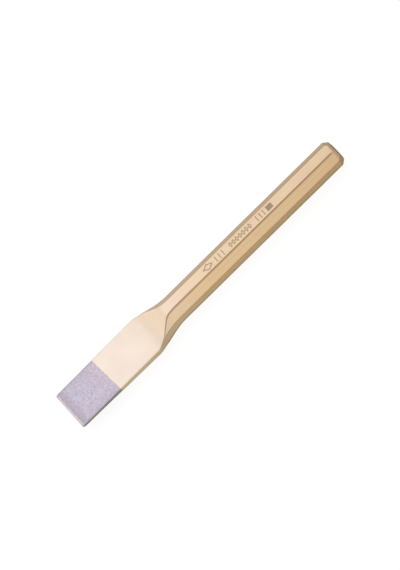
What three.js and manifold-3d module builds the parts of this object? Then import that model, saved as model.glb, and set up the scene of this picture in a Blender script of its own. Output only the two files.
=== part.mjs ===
// Flat cold chisel, 240 mm long: one steel forging of 18 mm octagon bar, and the lacquer coat on it.
// Millimetres, +Z up. The chisel lies flat on a facet of its shank: +X runs from the cutting edge to
// the struck head, +Y across the blade. The origin is under the middle of its length, at the surface
// that it lies on.
import * as THREE from "three";
import { mergeVertices } from "three/addons/utils/BufferGeometryUtils.js";
import Module from "manifold-3d";

const wasm = await Module();
wasm.setup();

// ---- Driving dimensions ----

const LENGTH = 240; // cutting edge to struck face, lacquer included
const BAR_ACROSS_FLATS = 18; // the octagon bar that the chisel is forged from
const BLADE_WIDTH = 30;
const BLADE_THICKNESS = { atEdge: 2.3, atShoulder: 4.8 };
const SHOULDER = 68; // distance from the cutting edge at which the neck begins

const EDGE_ANGLE = 60; // degrees, both cutting bevels together
const EDGE_LAND = 0.2; // the honed edge is this thick
const EDGE_CORNER = 0.9; // radius of the blade's two corners, seen from above

// The neck: the faces rise and the sides draw in, each as a straight ramp between two arcs.
const FACE_RAMP = { angle: 24, through: [80.4, 5.6], bladeRadius: 22, shankRadius: 10 };
const SIDE_RAMP = { angle: 21.8, through: [76, 12.75], bladeRadius: 12, shankRadius: 55 };
const CORNER_RAMP = { angle: 10.8, through: [78, 11.55], shankRadius: 60 };

// The head's bevel is ground facet by facet, so each of the eight is a little longer or shorter.
const HEAD_BEVEL_ANGLE = 35; // degrees from the shank's axis
const HEAD_BEVEL = { top: 2.4, topLeft: 3.7, left: 3.2, bottomLeft: 3.4 };
const HEAD_BEVEL_OPPOSITE = { top: 3.0, topLeft: 3.3, left: 3.7, bottomLeft: 2.6 };

const COAT = 0.1; // lacquer thickness
const BOND_GAP = 0.01; // between the lacquer and the steel, so that the solids never share volume
const COAT_START = 33.6; // distance from the cutting edge at the blade's middle
const COAT_SKEW = 3.3; // degrees that the masked line runs off square

// Plain marks struck into the upper facet, in five groups. `first` is the distance of a group's first
// mark from the cutting edge, and `pitch` is the distance from mark to mark.
const MARK_DEPTH = 0.25;
const MARK_STROKE = 0.55; // width of a struck line in the steel
const MARK_GROUPS = [
  { kind: "lozenge", count: 1, first: 129, pitch: 0, width: 7.4, height: 4.2 },
  { kind: "bar", count: 3, first: 136.3, pitch: 3.1, width: MARK_STROKE, height: 4.2 },
  { kind: "lozenge", count: 7, first: 149.3, pitch: 2.85, width: 2, height: 3.2 },
  { kind: "bar", count: 3, first: 173.1, pitch: 2.95, width: MARK_STROKE, height: 4.2 },
  { kind: "block", count: 1, first: 184, pitch: 0, width: 4.6, height: 3.6 },
];

// ---- Derived values ----

const BAR_RADIUS = BAR_ACROSS_FLATS / 2;
const COAT_OUTSIDE = BOND_GAP + COAT; // from the steel to the lacquer's outer surface
const AXIS_HEIGHT = BAR_RADIUS + COAT_OUTSIDE; // of the shank's axis above the surface
const STEEL_LENGTH = LENGTH - COAT_OUTSIDE;
const REACH = 40; // half the depth of every extruded profile, beyond the widest section
const ARC_STEPS = 10;

const radians = THREE.MathUtils.degToRad;
const slopeOf = (ramp) => Math.tan(radians(ramp.angle));

// ---- Profiles ----

// Where the line of `slope` through `point` crosses the line of `otherSlope` through `other`.
function crossing(point, slope, other, otherSlope) {
  const x = (other[1] - point[1] + slope * point[0] - otherSlope * other[0]) / (slope - otherSlope);
  return [x, point[1] + slope * (x - point[0])];
}

// One side of the chisel's outline, from the cutting edge to the head, as corners with radii.
function faceOutline(grow) {
  const half = BLADE_THICKNESS.atShoulder / 2 + grow;
  const taper = (BLADE_THICKNESS.atShoulder - BLADE_THICKNESS.atEdge) / 2 / SHOULDER;
  const root = [0, BLADE_THICKNESS.atEdge / 2 + grow];
  const ramp = FACE_RAMP;
  const bevel = Math.tan(radians(EDGE_ANGLE / 2));
  const bevelTop = crossing([0, EDGE_LAND / 2 + grow], bevel, root, taper);
  const foot = crossing(ramp.through, slopeOf(ramp), [SHOULDER, half], taper);
  const top = crossing([ramp.through[0], ramp.through[1] + grow], slopeOf(ramp), [0, BAR_RADIUS + grow], 0);
  return [
    { at: [0, EDGE_LAND / 2 + grow] },
    { at: bevelTop },
    { at: foot, radius: ramp.bladeRadius },
    { at: top, radius: ramp.shankRadius },
  ];
}

function sideOutline(grow) {
  const half = BLADE_WIDTH / 2 + grow;
  const ramp = SIDE_RAMP;
  const through = [ramp.through[0], ramp.through[1] + grow];
  return [
    { at: [0, half], radius: EDGE_CORNER },
    { at: crossing(through, -slopeOf(ramp), [0, half], 0), radius: ramp.bladeRadius },
    { at: crossing(through, -slopeOf(ramp), [0, BAR_RADIUS + grow], 0), radius: ramp.shankRadius },
  ];
}

// The corner facets run out where the blade is wider than they reach.
function cornerOutline(grow) {
  const ramp = CORNER_RAMP;
  const through = [ramp.through[0], ramp.through[1] + grow];
  return [
    { at: [0, ramp.through[1] + slopeOf(ramp) * ramp.through[0]] },
    { at: crossing(through, -slopeOf(ramp), [0, BAR_RADIUS + grow], 0), radius: ramp.shankRadius },
  ];
}

// The bevel at the head end of one side.
function headCorners(bevelLength, grow) {
  const end = STEEL_LENGTH + grow;
  const drop = bevelLength * Math.tan(radians(HEAD_BEVEL_ANGLE));
  return [{ at: [end - bevelLength, BAR_RADIUS + grow] }, { at: [end, BAR_RADIUS + grow - drop] }];
}

// A closed shape through the corners, each rounded by an arc of its radius.
function roundedShape(corners) {
  const shape = new THREE.Shape();
  const point = (i) => new THREE.Vector2(...corners[(i + corners.length) % corners.length].at);
  corners.forEach((corner, i) => {
    const here = point(i);
    const draw = (p) => (i === 0 ? shape.moveTo(p.x, p.y) : shape.lineTo(p.x, p.y));
    if (!corner.radius) {
      draw(here);
      return;
    }
    const back = point(i - 1).sub(here).normalize();
    const ahead = point(i + 1).sub(here).normalize();
    const halfAngle = Math.acos(THREE.MathUtils.clamp(back.dot(ahead), -1, 1)) / 2;
    const start = here.clone().addScaledVector(back, corner.radius / Math.tan(halfAngle));
    const bisector = back.clone().add(ahead).normalize();
    const centre = here.clone().addScaledVector(bisector, corner.radius / Math.sin(halfAngle));
    const end = here.clone().addScaledVector(ahead, corner.radius / Math.tan(halfAngle));
    const clockwise = back.cross(ahead) > 0;
    draw(start);
    const from = start.sub(centre).angle();
    const to = end.sub(centre).angle();
    shape.absarc(centre.x, centre.y, corner.radius, from, to, clockwise);
  });
  shape.closePath();
  return shape;
}

// ---- Solids ----

function toSolid(geometry) {
  const bare = geometry.clone();
  bare.deleteAttribute("normal");
  bare.deleteAttribute("uv");
  const merged = mergeVertices(bare, 1e-4);
  return new wasm.Manifold(
    new wasm.Mesh({
      numProp: 3,
      vertProperties: merged.attributes.position.array,
      triVerts: new Uint32Array(merged.index.array),
    }),
  );
}

function toGeometry(solid) {
  const mesh = solid.getMesh();
  const geometry = new THREE.BufferGeometry();
  geometry.setAttribute("position", new THREE.BufferAttribute(mesh.vertProperties, 3));
  geometry.setIndex(new THREE.BufferAttribute(mesh.triVerts, 1));
  geometry.computeVertexNormals();
  return geometry;
}

// A slab through the whole chisel, with `outline` on both sides and a bevel of its own at each
// side's head end. `angle` turns its first side from +Y towards +Z.
function slab(outline, bevel, bevelOpposite, angle, grow) {
  const side = [...outline, ...headCorners(bevel, grow)];
  const opposite = [...outline, ...headCorners(bevelOpposite, grow)]
    .map(({ at, radius }) => ({ at: [at[0], -at[1]], radius }))
    .reverse();
  const geometry = new THREE.ExtrudeGeometry(roundedShape([...side, ...opposite]), {
    depth: 2 * REACH,
    curveSegments: ARC_STEPS,
    bevelEnabled: false,
  });
  geometry.translate(0, 0, -REACH);
  geometry.rotateX(radians(angle));
  return toSolid(geometry);
}

// The forging is what four slabs have in common: two for its faces and sides, two for its corners.
function forgedShape(grow) {
  const slabs = [
    slab(faceOutline(grow), HEAD_BEVEL.top, HEAD_BEVEL_OPPOSITE.top, 90, grow),
    slab(sideOutline(grow), HEAD_BEVEL.left, HEAD_BEVEL_OPPOSITE.left, 0, grow),
    slab(cornerOutline(grow), HEAD_BEVEL.topLeft, HEAD_BEVEL_OPPOSITE.topLeft, 45, grow),
    slab(cornerOutline(grow), HEAD_BEVEL_OPPOSITE.bottomLeft, HEAD_BEVEL.bottomLeft, 135, grow),
  ];
  const shape = slabs.reduce((common, next) => common.intersect(next));
  return shape.subtract(struckMarks(grow));
}

// ---- Struck marks ----

const rectangle = (x, y) => [[-x, -y], [x, -y], [x, y], [-x, y]].map((p) => new THREE.Vector2(...p));
const lozenge = (x, y) => [[0, -y], [x, 0], [0, y], [-x, 0]].map((p) => new THREE.Vector2(...p));

// The outline of one mark, every side of its strokes drawn in by `shrink`. A lozenge is a stroke round
// a hole, and the other marks are solid.
function markShape({ kind, width, height }, shrink) {
  if (kind !== "lozenge") {
    return new THREE.Shape(rectangle(width / 2 - shrink, height / 2 - shrink));
  }
  const middleToSide = (width * height) / 2 / Math.hypot(width, height);
  const share = (MARK_STROKE / 2 - shrink) / middleToSide;
  const scaled = (scale) => lozenge((width / 2) * scale, (height / 2) * scale);
  const shape = new THREE.Shape(scaled(1 + share));
  shape.holes.push(new THREE.Path(scaled(1 - share).reverse()));
  return shape;
}

// All the marks as one cutter, reaching down from above the upper facet.
function struckMarks(grow) {
  const floor = BAR_RADIUS - MARK_DEPTH + grow;
  const cutters = [];
  for (const group of MARK_GROUPS) {
    for (let i = 0; i < group.count; i += 1) {
      const geometry = new THREE.ExtrudeGeometry(markShape(group, grow), {
        depth: 2 * MARK_DEPTH,
        bevelEnabled: false,
      });
      geometry.translate(group.first + i * group.pitch, 0, floor);
      cutters.push(toSolid(geometry));
    }
  }
  return cutters.reduce((all, next) => all.add(next));
}

// ---- The two pieces ----

function steelForging() {
  return forgedShape(0);
}

// Everything behind the masked line, between the steel and the coat's outer surface.
function lacquerCoat() {
  const behind = new THREE.BoxGeometry(LENGTH, 2 * REACH, 2 * REACH);
  behind.translate(LENGTH / 2, 0, 0);
  behind.rotateZ(radians(COAT_SKEW));
  behind.translate(COAT_START, 0, 0);
  return forgedShape(COAT_OUTSIDE).subtract(forgedShape(BOND_GAP)).intersect(toSolid(behind));
}

const groundSteel = new THREE.MeshStandardMaterial({ color: 0xc8bfcc, roughness: 0.45, metalness: 1.0 });
const goldLacquer = new THREE.MeshStandardMaterial({ color: 0xd9b98c, roughness: 0.4, metalness: 0.6 });

const chisel = new THREE.Group();
for (const [name, solid, material] of [
  ["steel_forging", steelForging(), groundSteel],
  ["lacquer_coat", lacquerCoat(), goldLacquer],
]) {
  const mesh = new THREE.Mesh(toGeometry(solid), material);
  mesh.name = name;
  chisel.add(mesh);
}
chisel.position.set(-LENGTH / 2, 0, AXIS_HEIGHT);

export default chisel;
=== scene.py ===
import math

import bmesh
import bpy
import numpy as np
from mathutils import Matrix, Vector


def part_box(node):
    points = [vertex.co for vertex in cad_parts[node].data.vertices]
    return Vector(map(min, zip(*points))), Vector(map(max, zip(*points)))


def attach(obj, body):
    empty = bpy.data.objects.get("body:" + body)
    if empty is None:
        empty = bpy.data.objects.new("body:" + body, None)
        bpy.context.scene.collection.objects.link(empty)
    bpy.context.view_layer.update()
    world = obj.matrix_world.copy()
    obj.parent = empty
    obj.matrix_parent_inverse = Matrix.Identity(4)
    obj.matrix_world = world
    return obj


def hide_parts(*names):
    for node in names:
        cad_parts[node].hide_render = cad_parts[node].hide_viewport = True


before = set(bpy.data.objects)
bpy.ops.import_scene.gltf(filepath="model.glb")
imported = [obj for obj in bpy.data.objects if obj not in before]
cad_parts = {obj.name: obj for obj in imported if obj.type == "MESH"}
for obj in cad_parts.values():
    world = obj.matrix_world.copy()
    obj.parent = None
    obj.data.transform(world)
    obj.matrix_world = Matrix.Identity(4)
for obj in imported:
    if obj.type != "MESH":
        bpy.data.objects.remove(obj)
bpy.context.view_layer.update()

# ---------------------------------------------------------------------------------------------
# The forging: one length of octagon tool-steel bar. The blade is hammered out wide and thin
# between dies, the head is bevelled facet by facet on a wheel, and the tip is left bare and
# sanded bright. The maker's marks are struck into the upper facet before the steel is hardened.
# ---------------------------------------------------------------------------------------------

MM = 0.001
steel_low, steel_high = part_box("steel_forging")
coat_low, coat_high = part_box("lacquer_coat")

# All the sizes below are millimetres: x from the cutting edge, y and z from the shank's axis.
AXIS_ORIGIN = Vector((steel_low.x, 0, (steel_low.z + steel_high.z) / 2))
STEEL_LENGTH = (steel_high.x - steel_low.x) / MM
BAR_HALF = (steel_high.z - steel_low.z) / 2 / MM
BLADE_HALF = steel_high.y / MM

TIP_HALF_THICKNESS = 1.15
SHOULDER_HALF_THICKNESS = 2.4
SHOULDER = 68
EDGE_LAND_HALF = 0.1
EDGE_BEVEL_ANGLE = 30  # of each cutting bevel to the blade's middle plane
EDGE_BEVEL_EASE = 0.3  # radius where the cutting bevel meets the blade
EDGE_BEVEL_ROOT = (TIP_HALF_THICKNESS - EDGE_LAND_HALF) / math.tan(math.radians(EDGE_BEVEL_ANGLE))
EDGE_CORNER_RADIUS = 0.9

# The neck's ramps: an angle, a point that the ramp passes, and the radius that eases each end.
# The corner facets run out into the blade's sides, so they need no ease in front.
FACE_RAMP = {"angle": 24, "passes": (80.4, 5.6), "ease": (22, 10)}
SIDE_RAMP = {"angle": -21.8, "passes": (76, 12.75), "ease": (12, 55)}
CORNER_RAMP = {"angle": -10.8, "passes": (78, 11.55), "ease": (0, 60)}
LEAST_EASE = 1e-6  # keeps an uneased corner from dividing by nothing

# The eight sides in turn, from the one facing +Y round by the top: how far back each is bevelled.
HEAD_BEVELS = (3.2, 3.7, 2.4, 2.6, 3.7, 3.3, 3.0, 3.4)
HEAD_BEVEL_ANGLE = 35
HEAD_CREASE_RADIUS = 0.8
HEAD_RIM_RADIUS = 0.35
HEAD_CROWN = 0.35
HEAD_RIM = STEEL_LENGTH - HEAD_CROWN

# The long edges are rounded, a little more on the bar than on the blade.
BLADE_EDGE_RADIUS = 0.3
BAR_EDGE_RADIUS = 0.4
EDGE_RADIUS_GROWS = (70, 90)
EDGE_RADIUS_LIMIT = 0.85  # of half the thickness
ARC_COLUMNS = 4  # steps round each rounded edge
TOP = 2  # the side that faces up, counted from the one facing +Y
CORNER_SIDES = (1, 3, 5, 7)
EIGHTH_TURN = math.radians(45)
SIDE_ANGLES = np.radians(np.arange(8) * 45)


def rise(x, start, end):
    """0 up to start and 1 from end on, in a straight line between them."""
    return np.clip((x - start) / (end - start), 0, 1)


def lesser(a, b, slope_change, radius):
    """The lower of two lines, with the corner between them eased to about that radius."""
    ease = max(radius * slope_change**2 / 2, LEAST_EASE)
    return np.minimum(a, b) - np.maximum(ease - np.abs(a - b), 0) ** 2 / (4 * ease)


def greater(a, b, slope_change, radius):
    """The higher of two lines, eased in the same way."""
    return -lesser(-a, -b, slope_change, radius)


def ramp_line(ramp, x):
    """The ramp's height at x, and how steep it is."""
    slope = math.tan(math.radians(ramp["angle"]))
    return ramp["passes"][1] + slope * (x - ramp["passes"][0]), abs(slope)


def face_reach(x):
    """Half the thickness: cutting bevel, tapered blade, neck, bar."""
    taper = (SHOULDER_HALF_THICKNESS - TIP_HALF_THICKNESS) / SHOULDER
    blade = TIP_HALF_THICKNESS + taper * x
    ramp, slope = ramp_line(FACE_RAMP, x)
    drawn = greater(blade, ramp, slope - taper, FACE_RAMP["ease"][0])
    drawn = lesser(drawn, BAR_HALF, slope, FACE_RAMP["ease"][1])
    bevel = math.tan(math.radians(EDGE_BEVEL_ANGLE))
    return lesser(drawn, EDGE_LAND_HALF + bevel * x, bevel, EDGE_BEVEL_EASE)


def side_reach(x):
    """Half the width: the tip's corner, parallel blade, neck, bar."""
    ramp, slope = ramp_line(SIDE_RAMP, x)
    drawn = lesser(BLADE_HALF, ramp, slope, SIDE_RAMP["ease"][0])
    drawn = greater(drawn, BAR_HALF, slope, SIDE_RAMP["ease"][1])
    into_corner = np.clip(EDGE_CORNER_RADIUS - x, 0, EDGE_CORNER_RADIUS)
    return drawn - EDGE_CORNER_RADIUS + np.sqrt(EDGE_CORNER_RADIUS**2 - into_corner**2)


def corner_reach(x):
    """How far out the bar's corner facets stand, which open past the blade's edges."""
    ramp, slope = ramp_line(CORNER_RAMP, x)
    return greater(ramp, BAR_HALF, slope, CORNER_RAMP["ease"][1])


def head_bevel(x, length):
    """The bevel ground on one side of the head, with its rounded rim."""
    slope = math.tan(math.radians(HEAD_BEVEL_ANGLE))
    into_rim = np.clip(x - (HEAD_RIM - HEAD_RIM_RADIUS), 0, HEAD_RIM_RADIUS)
    rim = HEAD_RIM_RADIUS - np.sqrt(HEAD_RIM_RADIUS**2 - into_rim**2)
    return BAR_HALF - slope * (x - (STEEL_LENGTH - length)) - rim


def all_reaches(x):
    """How far each of the eight sides stands from the axis at x."""
    corner = corner_reach(x)
    side = side_reach(x)
    face = face_reach(x)
    reaches = np.stack([side, corner, face, corner, side, corner, face, corner])
    slope = math.tan(math.radians(HEAD_BEVEL_ANGLE))
    for i, length in enumerate(HEAD_BEVELS):
        reaches[i] = lesser(reaches[i], head_bevel(x, length), slope, HEAD_CREASE_RADIUS)
    return reaches


def columns(counts):
    """The lines that run the length of the chisel: the side that each is on, how far across it,
    and the way the surface faces there. Each side has its count, and each edge a few more round
    its arc."""
    lines = []
    for i, count in enumerate(counts):
        lines += [(i, across, i * EIGHTH_TURN) for across in np.linspace(0, 1, count)]
        arc = [(i + step / ARC_COLUMNS) * EIGHTH_TURN for step in range(1, ARC_COLUMNS)]
        lines += [(i, 1, facing) for facing in arc]
    side, across, facing = zip(*lines)
    return np.array(side), np.array(across), np.array(facing)


# Painted shade along the long edges: how strongly each edge is darkened, from the one between
# the +Y side and the next one up, and how far from an edge the shade reaches.
EDGE_SHADE_STRENGTH = np.array((0.6, 0.5, 1.0, 0.2, 0.9, 0.6, 0.6, 0.5))
EDGE_SHADE_WIDTH = 0.3


def section(x, lines, grow):
    """Points of the rounded section at each x, and how much painted edge shade each gets, 0 to 1.
    """
    side, across, facing = lines
    reaches = all_reaches(x) + grow
    on_bar = rise(x, *EDGE_RADIUS_GROWS)
    radius = BLADE_EDGE_RADIUS + (BAR_EDGE_RADIUS - BLADE_EDGE_RADIUS) * on_bar
    radius = np.minimum(radius, EDGE_RADIUS_LIMIT * reaches[TOP])
    reaches = reaches - radius
    for i in CORNER_SIDES:
        where_sides_meet = (reaches[i - 1] + reaches[(i + 1) % 8]) / math.sqrt(2)
        reaches[i] = np.minimum(reaches[i], where_sides_meet)
    row = np.arange(x.shape[0])[:, None]
    column = np.arange(x.shape[1])[None, :]
    here = reaches[side[None, :], row, column]
    before = reaches[(side[None, :] - 1) % 8, row, column]
    after = reaches[(side[None, :] + 1) % 8, row, column]
    start = -(before - here * math.cos(EIGHTH_TURN)) / math.sin(EIGHTH_TURN)
    end = (after - here * math.cos(EIGHTH_TURN)) / math.sin(EIGHTH_TURN)
    along = start + across * (end - start)
    angle = SIDE_ANGLES[side]
    y = here * np.cos(angle) - along * np.sin(angle) + radius * np.cos(facing)
    z = here * np.sin(angle) + along * np.cos(angle) + radius * np.sin(facing)
    nearest = np.where(across < 0.5, side - 1, side) % 8
    from_edge = np.minimum(along - start, end - along)
    edge = EDGE_SHADE_STRENGTH[nearest] * np.exp(-((from_edge / EDGE_SHADE_WIDTH) ** 2))
    return np.stack([x, y, z], axis=-1), edge


# Forging leaves the whole surface slightly wavy, and hammering the neck leaves finer dents there.
FORGED_WAVES = {"depth": 0.03, "apart": 24, "seed": 3}
HAMMERED_WAVES = {"depth": 0.015, "apart": 7, "seed": 5}
HAMMERED_FROM = (60, 70)  # where the dents begin, and where they are at full depth
HAMMERED_TO = (100, 90)
WAVE_COUNT = 8  # waves laid over each other, each in its own direction
WAVE_SPREAD = (0.6, 1.5)  # each wave is between these times as close as asked for


def unevenness(points, apart, seed):
    """Gentle waves from about -1 to 1 with their crests about this far apart."""
    draw = np.random.default_rng(seed)
    total = np.zeros(points.shape[:-1])
    for _ in range(WAVE_COUNT):
        direction = draw.normal(size=3)
        direction *= 2 * math.pi / apart * draw.uniform(*WAVE_SPREAD) / np.linalg.norm(direction)
        total += np.sin(points @ direction + draw.uniform(0, 2 * math.pi))
    return np.clip(2 * total / WAVE_COUNT, -1, 1)


def sunk(points, waves):
    """How far waves of this kind sink each point below the plain surface."""
    return waves["depth"] * (1 + unevenness(points, waves["apart"], waves["seed"]))


# The struck row: plain marks, each with its place, half its width and half its height.
MARK_DEPTH = 0.22
MARK_STROKE_HALF = 0.24
MARK_WALL = 0.2  # each stroke's wall slopes over this width
MARKS = (
    [("lozenge", 129.0, 3.7, 2.1)]
    + [("bar", 136.3 + 3.1 * i, MARK_STROKE_HALF, 2.1) for i in range(3)]
    + [("lozenge", 149.3 + 2.85 * i, 1.0, 1.6) for i in range(7)]
    + [("bar", 173.1 + 2.95 * i, MARK_STROKE_HALF, 2.1) for i in range(3)]
    + [("block", 184.0, 2.3, 1.8)]
)
MARK_ROW = (124, 188)  # where the row begins and ends
MARK_POOLING_AND_SHADE = {"lozenge": 0.45, "bar": 0.5, "block": 0.65}  # how much darker each kind is: lacquer pooled in it, and painted shade


def struck(points, on_top):
    """How deep the marks are at each point, and how much darker from pooled lacquer and painted
    shade, both 0 to 1.
    """
    depth = np.zeros(points.shape[:-1])
    pooling_and_shade = np.zeros(points.shape[:-1])
    for kind, middle, half_width, half_height in MARKS:
        along = np.abs(points[..., 0] - middle)
        across = np.abs(points[..., 1])
        if kind == "lozenge":
            middle_to_side = half_width * half_height / math.hypot(half_width, half_height)
            from_stroke = (along / half_width + across / half_height - 1) * middle_to_side
            outside = np.abs(from_stroke) - MARK_STROKE_HALF
        else:
            outside = np.maximum(along - half_width, across - half_height)
        here = np.clip(0.5 - outside / MARK_WALL, 0, 1) * on_top
        depth = np.maximum(depth, here)
        pooling_and_shade = np.maximum(pooling_and_shade, here * MARK_POOLING_AND_SHADE[kind])
    return depth, pooling_and_shade


def chisel_surface(x, lines, grow):
    """The chisel's surface at this distance outside the steel, with forging and marks, as points,
    and two measures of each: how much painted edge shade it gets, and how dark a mark is there."""
    side, _, facing = lines
    points, edge = section(x, lines, grow)
    outward = np.stack([np.zeros_like(facing), np.cos(facing), np.sin(facing)], axis=-1)
    marks, pooling_and_shade = struck(points, (side == TOP) & (facing == TOP * EIGHTH_TURN))
    hammered = rise(x, *HAMMERED_FROM) * rise(x, *HAMMERED_TO)
    forged = sunk(points, FORGED_WAVES) + sunk(points, HAMMERED_WAVES) * hammered
    points = points - (forged + MARK_DEPTH * marks)[..., None] * outward
    return points, edge, pooling_and_shade


def stations(*stretches):
    """Distances from the cutting edge: each stretch is its start, its end and the step between."""
    parts = []
    for start, end, step in stretches:
        parts.append(np.linspace(start, end, max(2, round((end - start) / step)), endpoint=False))
    return np.concatenate(parts + [[stretches[-1][1]]])


def head_face(rim, rings):
    """The struck face inside its rim: the rim drawn in ring by ring to a low crown."""
    middle = rim.mean(axis=0)
    inner = []
    for i in range(1, rings):
        share = 1 - i / rings
        ring = middle + (rim - middle) * share
        ring[:, 0] = rim[:, 0] + HEAD_CROWN * (1 - share**2)
        inner.append(ring)
    return np.stack(inner)


CRISP_ANGLE = 38  # edges that turn further than this are shaded crisp
TOUCHING = 0.002  # points closer than this are joined


def skin(name, rings, measures):
    """A closed mesh through rings of points, each end drawn to a point, with a float attribute for
    each measure."""
    count, around, _ = rings.shape
    ends = np.stack([rings[0].mean(axis=0), rings[-1].mean(axis=0)])
    points = np.concatenate([rings.reshape(-1, 3), ends])
    points = points * MM + np.array(AXIS_ORIGIN)
    index = np.arange(count * around).reshape(count, around)
    turned = np.roll(index, -1, axis=1)
    quads = np.stack([index[:-1], turned[:-1], turned[1:], index[1:]], axis=-1).reshape(-1, 4)
    first, last = count * around, count * around + 1
    faces = quads.tolist()
    faces += [(first, int(b), int(a)) for a, b in zip(index[0], turned[0])]
    faces += [(last, int(a), int(b)) for a, b in zip(index[-1], turned[-1])]
    mesh = bpy.data.meshes.new(name)
    mesh.from_pydata(points.tolist(), [], faces)
    for label, values in measures.items():
        values = np.concatenate([values.reshape(-1), [0, 0]]).astype(np.float32)
        mesh.attributes.new(label, "FLOAT", "POINT").data.foreach_set("value", values)
    mesh.validate()
    mesh.shade_smooth()
    mesh.set_sharp_from_angle(angle=math.radians(CRISP_ANGLE))
    piece = bpy.data.objects.new(name, mesh)
    bpy.context.scene.collection.objects.link(piece)
    join_touching(piece)
    return piece


def join_touching(piece):
    """Joins points that lie on each other, where a side of the bar has run out into the blade."""
    shape = bmesh.new()
    shape.from_mesh(piece.data)
    bmesh.ops.remove_doubles(shape, verts=shape.verts, dist=TOUCHING * MM)
    bmesh.ops.recalc_face_normals(shape, faces=shape.faces)
    shape.to_mesh(piece.data)
    shape.free()


# Points across each of the eight sides, and the stretches in which rings lie closer or wider.
STEEL_COLUMNS = columns((8, 4, 28, 4, 8, 4, 28, 4))
STEEL_FACE_RINGS = 6
EDGE_BEVEL_STRETCH_END = 2.8
BARE_STRETCH_END = 36
NECK_STRETCH = (SHOULDER, 96)
HEAD_STRETCH_START = 235
# Painted shade: a dark line at the cutting bevel's root, where the blade steps into the bevel.
# The blade is also drawn a little darker in a band along its long sides.
ROOT_LINE_FRONT = 0.25
ROOT_LINE_BACK = 4.5
DARKER_BESIDE_EDGE = 3.0
DARKER_BESIDE_EDGE_STRENGTH = 0.6
# Painted light: sides that face sideways are painted a paler, cooler grey for the light they
# reflect.
FLANK_FACING = (0.75, 0.95)  # how squarely a side faces sideways before it counts as a flank


def forging_mesh():
    """The whole forging with its struck face, and where it is an edge, drawn darker, bevel or
    flank:
    the edges get painted shading, the bevel's root painted shade, and the flanks painted light.
    """
    x = stations(
        (0, EDGE_BEVEL_STRETCH_END, 0.1),
        (EDGE_BEVEL_STRETCH_END, BARE_STRETCH_END, 0.6),
        (BARE_STRETCH_END, NECK_STRETCH[0], 2),
        (*NECK_STRETCH, 0.7),
        (NECK_STRETCH[1], MARK_ROW[0], 3),
        (*MARK_ROW, 0.3),
        (MARK_ROW[1], HEAD_STRETCH_START, 3),
        (HEAD_STRETCH_START, HEAD_RIM, 0.25),
    )
    x = np.repeat(x[:, None], len(STEEL_COLUMNS[0]), axis=1)
    rings, edge, _ = chisel_surface(x, STEEL_COLUMNS, 0)
    face = head_face(rings[-1], STEEL_FACE_RINGS)
    behind_root = x - EDGE_BEVEL_ROOT
    reach = np.where(behind_root < 0, ROOT_LINE_FRONT, ROOT_LINE_BACK)
    inside_edge = BLADE_HALF - np.abs(rings[..., 1])
    beside_edge = np.exp(-((inside_edge / DARKER_BESIDE_EDGE) ** 2))
    darkened = np.exp(-((behind_root / reach) ** 2))
    darkened = np.maximum(darkened, DARKER_BESIDE_EDGE_STRENGTH * beside_edge)
    bevel = rise(-behind_root, 0, ROOT_LINE_FRONT)
    flank = rise(np.abs(np.cos(STEEL_COLUMNS[2])), *FLANK_FACING) + 0 * x
    plain = np.zeros(face.shape[:2])
    measures = {"edge": edge, "darkened": darkened, "bevel": bevel, "flank": flank}
    measures = {label: np.concatenate([values, plain]) for label, values in measures.items()}
    return skin("forged_steel", np.concatenate([rings, face]), measures)


def linear(colour):
    """A colour written as sRGB hex, as the linear RGBA that the shaders take."""
    channels = [int(colour[i : i + 2], 16) / 255 for i in (1, 3, 5)]
    return [c / 12.92 if c <= 0.04045 else ((c + 0.055) / 1.055) ** 2.4 for c in channels] + [1]


def add_node(tree, kind, sockets=None, **settings):
    """Adds a node. Each of its sockets named in `sockets` gets a value, or a link from another
    node's output."""
    node = tree.nodes.new("ShaderNode" + kind)
    for setting, value in settings.items():
        setattr(node, setting, value)
    for socket, value in (sockets or {}).items():
        if isinstance(value, bpy.types.NodeSocket):
            tree.links.new(value, node.inputs[socket])
        else:
            node.inputs[socket].default_value = value
    return node


def new_material(name):
    """An empty material and its nodes."""
    material = bpy.data.materials.new(name)
    material.use_nodes = True
    material.node_tree.nodes.clear()
    return material, material.node_tree


def repeats(size):
    """The texture scale that gives a pattern this size in millimetres."""
    return 1000 / size


# The real scratches and grit are finer: both are drawn as coarse as they need to be to show.
SCRATCH_SIZE = 2
SCRATCH_CURL = 1.6
SCRATCH_FRESHNESS = {"From Min": 0.6, "From Max": 1.35, "To Max": 0.6}
GRIT_SIZE = 0.8
GRIT_SHARE = 0.6
SANDING_DEPTH = 0.04
SANDING_STRENGTH = 0.7
STAIN_SIZE = 14
STAIN_RANGE = {"From Min": 0.35, "From Max": 0.65}
STEEL_ROUGHNESS = 0.48
STEEL_PINKISH = "#b8a4aa"
STEEL_BLUISH = "#afa6b0"
STEEL_ON_BEVEL = "#c2b8bf"
STEEL_IN_SCRATCH = "#dccfd3"
# Painted shade at the cutting bevel's root, and darker along the blade's long sides.
STEEL_DARKENED = ("#7d7078", 0.28)  # with how much of it is laid over the rest
# Painted light on the sideways flanks.
STEEL_FLANK_PAINTED_LIGHT = "#c2bfce"
# Painted shading: a greyer, slightly darker tone along the steel's edges, for how they catch light.
STEEL_EDGE_SHADING = ("#a3a2a8", 0.8)


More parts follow.
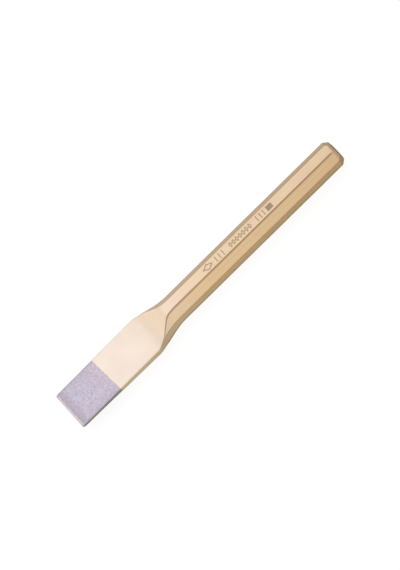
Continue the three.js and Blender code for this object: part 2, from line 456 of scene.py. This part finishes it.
def sanded_tool_steel():
    """Chrome-vanadium tool steel sanded with an orbital pad: a cool lilac-grey metal, satin, with
    a felt of short curly scratches instead of straight grinding lines, and a paler fresh-cut
    bevel. Painted shading greys the edges and painted shade darkens the bevel's root. Painted
    light makes the sideways flanks paler and cooler."""
    material, tree = new_material("chrome_vanadium_steel_orbital_sanded")
    place = add_node(tree, "TexCoord").outputs["Object"]
    edge = add_node(tree, "Attribute", attribute_name="edge").outputs["Fac"]
    darkened = add_node(tree, "Attribute", attribute_name="darkened").outputs["Fac"]
    bevel = add_node(tree, "Attribute", attribute_name="bevel").outputs["Fac"]
    flank = add_node(tree, "Attribute", attribute_name="flank").outputs["Fac"]
    # The noise is ridged, and its offset and gain give lines instead of blots.
    curls = add_node(
        tree, "TexNoise",
        {
            "Vector": place,
            "Scale": repeats(SCRATCH_SIZE),
            "Detail": 1.0,
            "Distortion": SCRATCH_CURL,
            "Offset": 1.0,
            "Gain": 2.0,
        },
        noise_type="RIDGED_MULTIFRACTAL",
    ).outputs["Fac"]
    grit = add_node(
        tree, "TexNoise", {"Vector": place, "Scale": repeats(GRIT_SIZE), "Detail": 3.0}
    ).outputs["Fac"]
    relief = add_node(
        tree, "Math", {0: grit, 1: GRIT_SHARE, 2: curls}, operation="MULTIPLY_ADD"
    ).outputs[0]
    bump = add_node(
        tree, "Bump",
        {"Height": relief, "Strength": SANDING_STRENGTH, "Distance": SANDING_DEPTH * MM},
    ).outputs[0]
    # The steel drifts from pinkish to bluish over the blade, and the scratches show fresh metal.
    stain = add_node(
        tree, "TexNoise", {"Vector": place, "Scale": repeats(STAIN_SIZE), "Detail": 2.0}
    ).outputs["Fac"]
    drift = add_node(tree, "MapRange", {"Value": stain, **STAIN_RANGE}).outputs[0]
    fresh = add_node(tree, "MapRange", {"Value": curls, **SCRATCH_FRESHNESS}).outputs[0]
    # Painted shade in a line at the bevel's root, and darker along the blade's sides.
    darkened_share = add_node(tree, "Math", {0: darkened, 1: STEEL_DARKENED[1]}, operation="MULTIPLY").outputs[0]
    # Painted shading along the edges.
    steel_edge_shading = add_node(tree, "Math", {0: edge, 1: STEEL_EDGE_SHADING[1]}, operation="MULTIPLY").outputs[0]
    tone = linear(STEEL_PINKISH)
    for share, colour in (
        (drift, STEEL_BLUISH),
        (bevel, STEEL_ON_BEVEL),
        (fresh, STEEL_IN_SCRATCH),
        (darkened_share, STEEL_DARKENED[0]),
        (flank, STEEL_FLANK_PAINTED_LIGHT),
        (steel_edge_shading, STEEL_EDGE_SHADING[0]),
    ):
        tone = add_node(
            tree, "MixRGB", {"Fac": share, "Color1": tone, "Color2": linear(colour)}
        ).outputs[0]
    surface = add_node(
        tree, "BsdfPrincipled",
        {"Base Color": tone, "Metallic": 1.0, "Roughness": STEEL_ROUGHNESS, "Normal": bump},
    ).outputs[0]
    add_node(tree, "OutputMaterial", {"Surface": surface})
    return material


forging = forging_mesh()
forging.data.materials.append(sanded_tool_steel())
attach(forging, "root")
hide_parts("steel_forging")

# ---------------------------------------------------------------------------------------------
# The lacquer: a gold-bronze metallic varnish, dipped or sprayed on with the tip masked, then
# stoved. It follows every facet and mark, sits a tenth of a millimetre proud of the steel, and
# ends in front at the line where the mask was. Painted shade darkens it along the edges.
# ---------------------------------------------------------------------------------------------

COAT_OUTSIDE = (coat_high.z - steel_high.z) / MM
BOND_GAP = 0.01
MASK_LINE = 33.6
MASK_SKEW = 3.3  # degrees that the mask was off square
MASK_WANDER = {"depth": 0.12, "apart": 5, "seed": 11}  # the line's own unevenness
MASK_SHIFT_FADES = 20  # the mesh is square again this far behind the line
MASK_LIP = 0.5  # the lacquer feathers down to the steel over this length


def mask_shift(x, y):
    """How far the masked line is from square at y, fading out along the blade."""
    skew = -math.tan(math.radians(MASK_SKEW)) * y
    along_line = np.stack([0 * y, y, 0 * y], axis=-1)
    wander = unevenness(along_line, MASK_WANDER["apart"], MASK_WANDER["seed"])
    fade = rise(x, MASK_LINE + MASK_SHIFT_FADES, MASK_LINE)
    return (skew + MASK_WANDER["depth"] * wander) * fade


# Painted shade darkens the coat along the bar's edges and less so along the blade's, up to just
# before the head's bevels, and again round the rim of the struck face.
BLADE_EDGE_SHADE = 0.35
BLADE_EDGE_SHADE_GROWS = (SHOULDER, SHOULDER + 8)
EDGE_SHADE_STOPS = (STEEL_LENGTH - 2.5, STEEL_LENGTH - 4)
RIM_SHADE = 0.55
RIM_SHADE_WIDTH = 0.6


def edge_shade_strength(x):
    """How strongly the edges' painted shade is laid on at each x."""
    on_bar = rise(x, *BLADE_EDGE_SHADE_GROWS)
    return (BLADE_EDGE_SHADE + (1 - BLADE_EDGE_SHADE) * on_bar) * rise(x, *EDGE_SHADE_STOPS)


def rim_shade(x):
    """The painted shade round the rim of the struck face."""
    return RIM_SHADE * np.exp(-(((HEAD_RIM - x) / RIM_SHADE_WIDTH) ** 2))


# Points across each of the eight sides, rings of the struck face inside and outside, and the
# stretch round the neck in which rings lie closer.
COAT_COLUMNS = columns((5, 7, 45, 7, 5, 7, 9, 7))
COAT_FACE_RINGS = (4, 8)
COAT_NECK_STRETCH = (66, 98)


def coat_rings(x, outside):
    """One surface of the coat, this far outside the steel behind its lip."""
    x = np.repeat(x[:, None], len(COAT_COLUMNS[0]), axis=1)
    y = section(x, COAT_COLUMNS, 0)[0][..., 1]
    lip = rise(x, MASK_LINE, MASK_LINE + MASK_LIP)
    grow = BOND_GAP + (outside - BOND_GAP) * np.sqrt(lip * (2 - lip))
    points, edge, pooling_and_shade = chisel_surface(x + mask_shift(x, y), COAT_COLUMNS, grow)
    return points, edge * edge_shade_strength(x) + rim_shade(x), pooling_and_shade


def coat_mesh():
    """The outer surface, the struck face, and the inner surface that lies on the steel."""
    lip_end = MASK_LINE + MASK_LIP
    outer_x = stations(
        (MASK_LINE, lip_end, 0.1),
        (lip_end, COAT_NECK_STRETCH[0], 1.2),
        (*COAT_NECK_STRETCH, 0.6),
        (COAT_NECK_STRETCH[1], MARK_ROW[0], 1.2),
        (*MARK_ROW, 0.2),
        (MARK_ROW[1], HEAD_STRETCH_START, 1.5),
        (HEAD_STRETCH_START, HEAD_RIM, 0.2),
    )
    inner_x = stations(
        (MASK_LINE, COAT_NECK_STRETCH[0], 4),
        (*COAT_NECK_STRETCH, 1.5),
        (COAT_NECK_STRETCH[1], MARK_ROW[0], 4),
        (*MARK_ROW, 0.2),
        (MARK_ROW[1], HEAD_STRETCH_START, 4),
        (HEAD_STRETCH_START, HEAD_RIM, 0.5),
    )
    outer, outer_edge, outer_pooling_and_shade = coat_rings(outer_x, COAT_OUTSIDE)
    inner, inner_edge, inner_pooling_and_shade = coat_rings(inner_x, BOND_GAP)
    inner_face = head_face(inner[-1], COAT_FACE_RINGS[0])
    inner_face[..., 0] += BOND_GAP
    outer_face = head_face(outer[-1], COAT_FACE_RINGS[1])
    outer_face[..., 0] += COAT_OUTSIDE
    plain_inner = np.zeros(inner_face.shape[:2])
    plain_outer = np.zeros(outer_face.shape[:2])
    rings = np.concatenate([inner_face[::-1], inner[::-1], outer, outer_face])
    edge = np.concatenate([plain_inner, inner_edge[::-1], outer_edge, plain_outer])
    pooling_and_shade = np.concatenate([plain_inner, inner_pooling_and_shade[::-1], outer_pooling_and_shade, plain_outer])
    return skin("gold_lacquer", rings, {"edge": edge, "pooling_and_shade": pooling_and_shade})


# The rolling streaks are long and narrow. The real flake is too fine to show, so its grain is
# drawn coarser.
STREAK_SIZE = (70, 1, 1)
CLOUD_SIZE = 14
CLOUD_SHARE = 0.5
FLAKE_SIZE = 0.4
FLAKE_SHARE = 0.35
FLAKE_DEPTH = 0.05
FLAKE_STRENGTH = 0.3
STREAK_RANGE = {"From Min": 0.55, "From Max": 0.95}
GLOSS_RANGE = {"From Min": 0.3, "From Max": 0.7, "To Min": 0.4, "To Max": 0.48}
# Painted highlight: the blade's paler cream fades out over this stretch.
BLADE_HIGHLIGHT_FADES = (coat_low.x + 0.01, coat_low.x + 0.1)  # metres: the blade's pale tone fades here
LACQUER_DEEP = "#d9be92"
LACQUER_IN_STREAK = "#e8c3a1"
LACQUER_DRAINED = "#f3f1ec"
LACQUER_BLADE_HIGHLIGHT = "#e9d4be"
# Painted shade: the dark brown laid along the edges and round the struck face's rim.
LACQUER_EDGE_SHADE = ("#7e5a34", 0.75)  # with how much of it is laid over the rest
# The dark of the struck marks: pooled lacquer with painted shade.
LACQUER_IN_MARK = "#4f4034"


def stoved_gold_lacquer():
    """Metallic lacquer over rolled bar: gold flake in a clear, slightly brown varnish. Gives a warm
    satin sheen that pales to cream where it faces the light, with the bar's rolling streaks.
    Painted shade darkens a line along the edges. The struck marks are darker with pooled lacquer
    and painted shade, and a painted highlight makes the coat paler over the blade."""
    material, tree = new_material("gold_bronze_lacquer_stoved")
    place = add_node(tree, "TexCoord").outputs["Object"]
    x = add_node(tree, "SeparateXYZ", {0: place}).outputs["X"]
    edge = add_node(tree, "Attribute", attribute_name="edge").outputs["Fac"]
    # Darker in the struck marks: lacquer pooled there, with painted shade for their depth.
    pooling_and_shade = add_node(tree, "Attribute", attribute_name="pooling_and_shade").outputs["Fac"]
    drawn_out = add_node(
        tree, "Mapping", {"Vector": place, "Scale": [repeats(size) for size in STREAK_SIZE]}
    ).outputs[0]
    streak = add_node(
        tree, "TexNoise", {"Vector": drawn_out, "Scale": 1.0, "Detail": 3.0}
    ).outputs["Fac"]
    cloud = add_node(
        tree, "TexNoise", {"Vector": place, "Scale": repeats(CLOUD_SIZE), "Detail": 3.0}
    ).outputs["Fac"]
    flake = add_node(
        tree, "TexNoise", {"Vector": place, "Scale": repeats(FLAKE_SIZE), "Detail": 2.0}
    ).outputs["Fac"]
    mottle = add_node(
        tree, "Math", {0: cloud, 1: CLOUD_SHARE, 2: streak}, operation="MULTIPLY_ADD"
    ).outputs[0]
    streaks = add_node(tree, "MapRange", {"Value": mottle, **STREAK_RANGE}).outputs[0]
    on_bar = add_node(
        tree, "MixRGB",
        {"Fac": streaks, "Color1": linear(LACQUER_DEEP), "Color2": linear(LACQUER_IN_STREAK)},
    ).outputs[0]
    # Hung head down to drain, the coat is thicker and browner towards the head.
    drained = add_node(
        tree, "MapRange", {"Value": x, "From Min": 0.0, "From Max": coat_high.x}
    ).outputs[0]
    on_bar = add_node(
        tree, "MixRGB",
        {"Fac": drained, "Color1": on_bar, "Color2": linear(LACQUER_DRAINED)},
        blend_type="MULTIPLY",
    ).outputs[0]
    # Painted highlight: the coat over the wide blade is painted paler cream than on the bar, for
    # the brighter light it catches.
    along = add_node(
        tree, "MapRange",
        {"Value": x, "From Min": BLADE_HIGHLIGHT_FADES[0], "From Max": BLADE_HIGHLIGHT_FADES[1]},
        interpolation_type="SMOOTHSTEP",
    ).outputs[0]
    # Painted shade along the edges and round the rim of the struck face.
    coat_edge_shade = add_node(tree, "Math", {0: edge, 1: LACQUER_EDGE_SHADE[1]}, operation="MULTIPLY").outputs[0]
    tone = linear(LACQUER_BLADE_HIGHLIGHT)
    for share, colour in (
        (along, on_bar),
        (coat_edge_shade, linear(LACQUER_EDGE_SHADE[0])),
        (pooling_and_shade, linear(LACQUER_IN_MARK)),
    ):
        tone = add_node(
            tree, "MixRGB", {"Fac": share, "Color1": tone, "Color2": colour}
        ).outputs[0]
    roughness = add_node(tree, "MapRange", {"Value": cloud, **GLOSS_RANGE}).outputs[0]
    height = add_node(
        tree, "Math", {0: flake, 1: FLAKE_SHARE, 2: streak}, operation="MULTIPLY_ADD"
    ).outputs[0]
    bump = add_node(
        tree, "Bump", {"Height": height, "Strength": FLAKE_STRENGTH, "Distance": FLAKE_DEPTH * MM}
    ).outputs[0]
    surface = add_node(
        tree, "BsdfPrincipled",
        {
            "Base Color": tone,
            "Metallic": 0.7,
            "Roughness": roughness,
            "Coat Weight": 0.6,
            "Coat Roughness": 0.3,
            "Normal": bump,
        },
    ).outputs[0]
    add_node(tree, "OutputMaterial", {"Surface": surface})
    return material


coat = coat_mesh()
coat.data.materials.append(stoved_gold_lacquer())
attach(coat, "root")
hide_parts("lacquer_coat")

# ---------------------------------------------------------------------------------------------
# The studio: a white light table inside a pale tent whose roof and walls glow softly, with cool
# light from above and warmer light from the sides. The table itself doesn't mirror in the metal.
# ---------------------------------------------------------------------------------------------

# Sizes are in metres here.
TABLE_SIZE = 6.0
TABLE_BASE = "#707070"
TABLE_GLOW = 0.88
TABLE_ROUGHNESS = 0.9


def light_table():
    """A square of glowing white acrylic under the chisel."""
    half = TABLE_SIZE / 2
    corners = [(-half, -half, 0), (half, -half, 0), (half, half, 0), (-half, half, 0)]
    mesh = bpy.data.meshes.new("light_table")
    mesh.from_pydata(corners, [], [(0, 1, 2, 3)])
    material, tree = new_material("white_acrylic_light_table")
    surface = add_node(
        tree, "BsdfPrincipled",
        {
            "Base Color": linear(TABLE_BASE),
            "Roughness": TABLE_ROUGHNESS,
            "Emission Color": linear("#ffffff"),
            "Emission Strength": TABLE_GLOW,
        },
    ).outputs[0]
    add_node(tree, "OutputMaterial", {"Surface": surface})
    mesh.materials.append(material)
    table = bpy.data.objects.new("light_table", mesh)
    bpy.context.scene.collection.objects.link(table)
    table.visible_glossy = False


# Each glow of the tent: the way towards it, its colour and its brightness.
TENT_GLOWS = (
    ((0, 0, 1), "#ecf3ff", 1.02),
    ((0, 0.6, 0.8), "#eaf1ff", 1.61),
    ((-0.85, 0.45, 0.3), "#fffffa", 1.2),
    ((-1, 0, 0.2), "#fffffb", 0.94),
    ((0.75, 0.45, 0.4), "#fffef8", 0.55),
    ((0.86, -0.5, 0.1), "#fffef2", 0.65),
    ((0, -0.87, 0.47), "#fff7e6", 0.67),
    ((0, -1, 0.1), "#fffbf3", 1.16),
    ((0, -0.6, -0.8), "#fff4bf", 0.33),
    ((0, 0.87, -0.47), "#fff4e9", 0.63),
    ((0, 0, -1), "#fff0b7", 0.26),
)
GLOW_FOCUS = 7.0  # how narrow each glow is


def tent():
    """The world as the tent's glows, each fading smoothly away from its middle."""
    world = bpy.data.worlds.new("tent")
    world.use_nodes = True
    tree = world.node_tree
    tree.nodes.clear()
    direction = add_node(tree, "TexCoord").outputs["Generated"]
    total = None
    for towards, colour, brightness in TENT_GLOWS:
        facing = add_node(
            tree, "VectorMath",
            {0: direction, 1: Vector(towards).normalized()},
            operation="DOT_PRODUCT",
        ).outputs["Value"]
        fall = add_node(
            tree, "Math", {0: facing, 1: GLOW_FOCUS, 2: -GLOW_FOCUS}, operation="MULTIPLY_ADD"
        ).outputs[0]
        fall = add_node(tree, "Math", {0: fall}, operation="EXPONENT").outputs[0]
        fall = add_node(tree, "Math", {0: fall, 1: brightness}, operation="MULTIPLY").outputs[0]
        glow = add_node(
            tree, "Background", {"Color": linear(colour), "Strength": fall}
        ).outputs[0]
        if total is None:
            total = glow
        else:
            total = add_node(tree, "AddShader", {0: total, 1: glow}).outputs[0]
    add_node(tree, "OutputWorld", {"Surface": total})
    bpy.context.scene.world = world


CAMERA_SIDE = Vector((0.05, -0.475, 0.875)).normalized()  # from the chisel to the camera
CAMERA_DISTANCE = 3.5
SHANK_TILT = 44.5  # degrees that the shank rises to the right in the view
VIEW_LONG_SIDE = 0.365  # metres of the view's long side at the chisel
VIEW_SHIFT = (0.00187, 0.00244)  # metres from the view's middle to the chisel's, right and up
SENSOR = 36.0
CLIP_START = 0.05


def camera():
    """Looks down on the chisel from its right-hand side, turned so that the shank runs up to the
    right."""
    axis = Vector((1, 0, 0))
    rising = (axis - axis.dot(CAMERA_SIDE) * CAMERA_SIDE).normalized()
    beside = CAMERA_SIDE.cross(rising)
    turn = math.radians(SHANK_TILT)
    right = math.cos(turn) * rising - math.sin(turn) * beside
    up = math.sin(turn) * rising + math.cos(turn) * beside
    aim = Vector((0, 0, AXIS_ORIGIN.z)) - right * VIEW_SHIFT[0] - up * VIEW_SHIFT[1]
    lens = bpy.data.cameras.new("camera")
    lens.sensor_width = SENSOR
    lens.lens = SENSOR * CAMERA_DISTANCE / VIEW_LONG_SIDE
    lens.clip_start = CLIP_START
    eye = bpy.data.objects.new("camera", lens)
    turned = Matrix((right, up, CAMERA_SIDE)).transposed()
    eye.matrix_world = Matrix.Translation(aim + CAMERA_SIDE * CAMERA_DISTANCE) @ turned.to_4x4()
    bpy.context.scene.collection.objects.link(eye)
    bpy.context.scene.camera = eye


light_table()
tent()
camera()
bpy.context.scene.view_settings.view_transform = "Standard"
